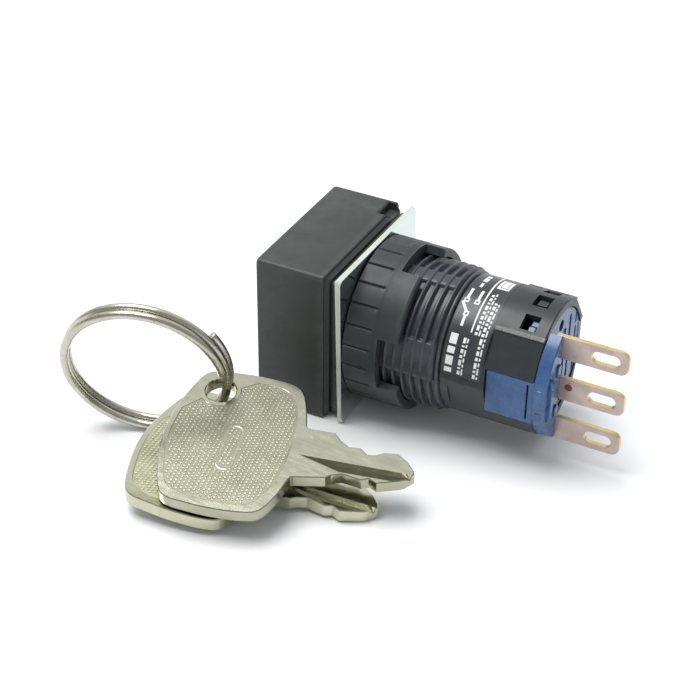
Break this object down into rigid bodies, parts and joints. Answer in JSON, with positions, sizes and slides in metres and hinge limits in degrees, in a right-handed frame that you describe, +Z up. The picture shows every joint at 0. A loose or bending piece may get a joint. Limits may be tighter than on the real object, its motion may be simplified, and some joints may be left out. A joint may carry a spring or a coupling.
{
  "type": "selector key switch",
  "caption": "Panel-mounted key-operated selector switch with square bezel, threaded barrel, locking nut, solder terminals, and its keys on a split ring.",
  "frame": {"origin": "under the middle of the object's bounding box, on the surface it lies on", "axes": "+Y along the switch from the key side to the terminals, +Z up, +X towards the keys"},
  "size_m": [0.0416, 0.055, 0.018],
  "materials": {
    "moulding_black": "fine matt moulded, dark charcoal",
    "nut_black": "fine matt moulded, charcoal",
    "base_blue": "satin moulded blue",
    "mechanism_white": "natural satin acetal",
    "gasket_pale": "pale translucent, satin",
    "seal_black": "matt black",
    "lock_nickel": "satin nickel plate over die-cast zinc",
    "wafer_brass": "rolled brass",
    "spring_steel": "drawn wire",
    "contact_silver": "silver, lightly worn",
    "terminal_plate": "tinned brass with bare cut edges",
    "key_nickel": "bright nickel plate over brass",
    "ring_nickel": "bright nickel-plated spring steel"
  },
  "bodies": {
    "housing": {"operator_body": "moulding_black", "lock_shell": "lock_nickel", "o_ring": "seal_black", "panel_gasket": "gasket_pale", "contact_housing": "moulding_black", "mechanism_plate": "mechanism_white", "pusher_spring": "spring_steel", "terminal_base": "base_blue", "terminal_nc": "terminal_plate", "terminal_common": "terminal_plate", "terminal_no": "terminal_plate", "fixed_contact_nc": "contact_silver", "fixed_contact_no": "contact_silver"},
    "locking_nut": {"locking_nut": "nut_black"},
    "lock_plug": {"lock_plug": "lock_nickel", "retaining_clip": "spring_steel", "drive_cam": "mechanism_white", "detent_spring": "spring_steel"},
    "wafer_1": {"wafer_1": "wafer_brass"},
    "wafer_2": {"wafer_2": "wafer_brass"},
    "wafer_3": {"wafer_3": "wafer_brass"},
    "wafer_4": {"wafer_4": "wafer_brass"},
    "wafer_5": {"wafer_5": "wafer_brass"},
    "detent_ball": {"detent_ball": "spring_steel"},
    "contact_pusher": {"contact_pusher": "mechanism_white"},
    "contact_lever": {"contact_lever": "wafer_brass", "moving_contact_nc": "contact_silver", "moving_contact_no": "contact_silver"},
    "key_ring": {"key_ring": "ring_nickel"},
    "key_a": {"key_a": "key_nickel"},
    "key_b": {"key_b": "key_nickel"}
  },
  "joints": [
    {"name": "nut_turn", "type": "hinge", "parent": "housing", "child": "locking_nut", "pos_m": [-0.01177, 0.00106, 0.009], "axis": [0, 1, 0], "continuous": true},
    {"name": "plug_turn", "type": "hinge", "parent": "housing", "child": "lock_plug", "pos_m": [-0.01177, -0.00414, 0.009], "axis": [0, 1, 0], "range_deg": [0, 90]},
    {"name": "wafer_1_slide", "type": "slide", "parent": "lock_plug", "child": "wafer_1", "axis": [0, 0, 1], "range_m": [0, 0.0005], "stiffness_N_per_m": 8},
    {"name": "wafer_2_slide", "type": "slide", "parent": "lock_plug", "child": "wafer_2", "axis": [0, 0, 1], "range_m": [0, 0.0005], "stiffness_N_per_m": 8},
    {"name": "wafer_3_slide", "type": "slide", "parent": "lock_plug", "child": "wafer_3", "axis": [0, 0, 1], "range_m": [0, 0.0005], "stiffness_N_per_m": 8},
    {"name": "wafer_4_slide", "type": "slide", "parent": "lock_plug", "child": "wafer_4", "axis": [0, 0, 1], "range_m": [0, 0.0005], "stiffness_N_per_m": 8},
    {"name": "wafer_5_slide", "type": "slide", "parent": "lock_plug", "child": "wafer_5", "axis": [0, 0, 1], "range_m": [0, 0.0005], "stiffness_N_per_m": 8},
    {"name": "ball_slide", "type": "slide", "parent": "lock_plug", "child": "detent_ball", "axis": [0, 0, 1], "range_m": [-0.00045, 0], "stiffness_N_per_m": 2, "springref_m": 0.0003, "deforming": ["detent_spring"]},
    {"name": "pusher_slide", "type": "slide", "parent": "housing", "child": "contact_pusher", "axis": [0, 1, 0], "range_m": [0, 0.00039], "deforming": ["pusher_spring"]},
    {"name": "lever_tilt", "type": "hinge", "parent": "housing", "child": "contact_lever", "pos_m": [-0.00852, 0.01476, 0.009], "axis": [-1, 0, 0], "range_deg": [0, 7]},
    {"name": "ring_lift", "type": "slide", "parent": "housing", "child": "key_ring", "axis": [0, 0, 1], "range_m": [0, 0.012]},
    {"name": "key_a_swing", "type": "hinge", "parent": "key_ring", "child": "key_a", "pos_m": [0.00619, -0.01133, 0.0071], "axis": [0.1853, 0.0834, 0.9791], "range_deg": [-25, 20]},
    {"name": "key_b_swing", "type": "hinge", "parent": "key_ring", "child": "key_b", "pos_m": [0.00589, -0.01375, 0.00373], "axis": [0.0525, 0.0907, 0.9945], "range_deg": [-25, 30]}
  ],
  "couplings": [
    {"joint": "pusher_slide", "follows": "plug_turn", "m_per_rad": 0.000248},
    {"joint": "lever_tilt", "follows": "plug_turn", "ratio": 0.0777}
  ]
}
